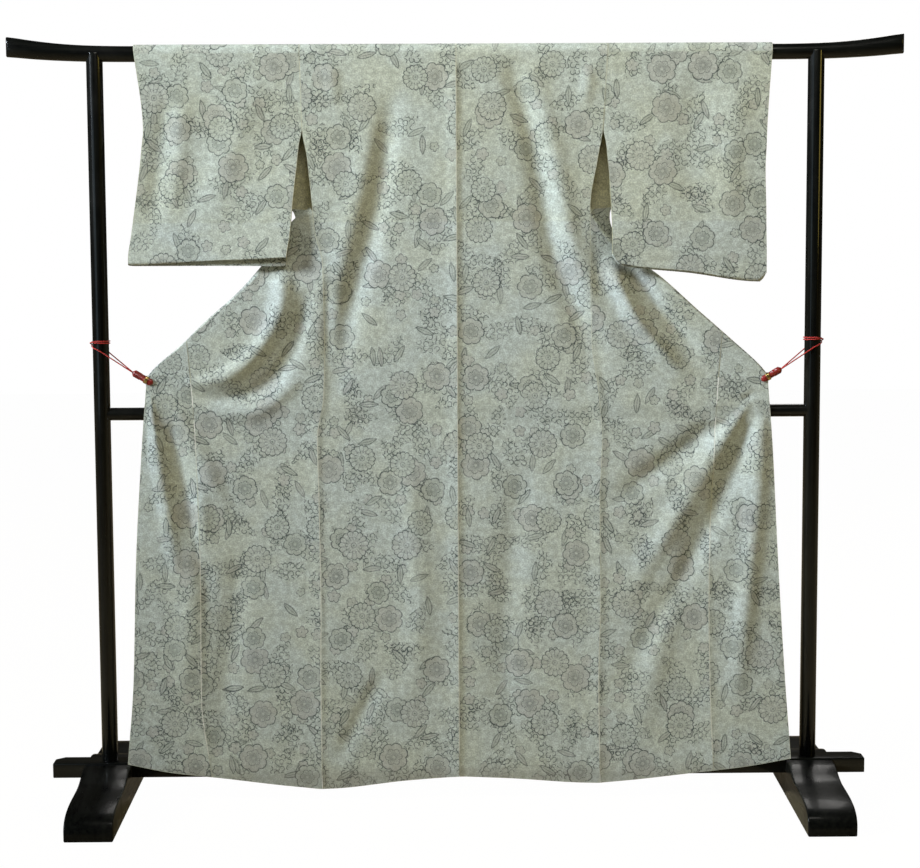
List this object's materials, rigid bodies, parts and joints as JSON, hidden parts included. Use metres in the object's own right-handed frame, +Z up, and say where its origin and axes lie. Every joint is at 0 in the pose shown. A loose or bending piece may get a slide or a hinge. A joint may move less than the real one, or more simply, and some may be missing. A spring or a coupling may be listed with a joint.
{
  "type": "silk kimono hung on a lacquered kimono rack",
  "caption": "Pale grey-green flowered silk kimono, seen from the back, hung over a black lacquered rack with its fronts clipped out to the posts.",
  "frame": {"origin": "on the floor, midway between the two feet and under the middle of the top bar", "axes": "+X along the top bar to the viewer's right, +Y from the kimono's back towards its fronts, +Z up"},
  "size_m": [1.8698, 0.66, 1.623],
  "materials": {
    "kimono_silk": "smooth silk crepe with a printed flower pattern, soft sheen",
    "black_lacquer": "black lacquer, satin gloss",
    "red_cord": "braided red cord",
    "clip_red": "red moulded clip",
    "gilt_metal": "polished gilt band"
  },
  "bodies": {
    "root": {"body_left": "kimono_silk", "body_right": "kimono_silk", "gore_left": "kimono_silk", "gore_right": "kimono_silk", "sleeve_left": "kimono_silk", "sleeve_right": "kimono_silk", "collar": "kimono_silk", "top_bar": "black_lacquer", "post_left": "black_lacquer", "post_right": "black_lacquer", "middle_rail": "black_lacquer", "base_beam": "black_lacquer", "foot_left": "black_lacquer", "foot_right": "black_lacquer", "clip_left": "clip_red", "clip_right": "clip_red", "clip_left_band": "gilt_metal", "clip_right_band": "gilt_metal", "cord_left": "red_cord", "cord_right": "red_cord"}
  },
  "joints": []
}
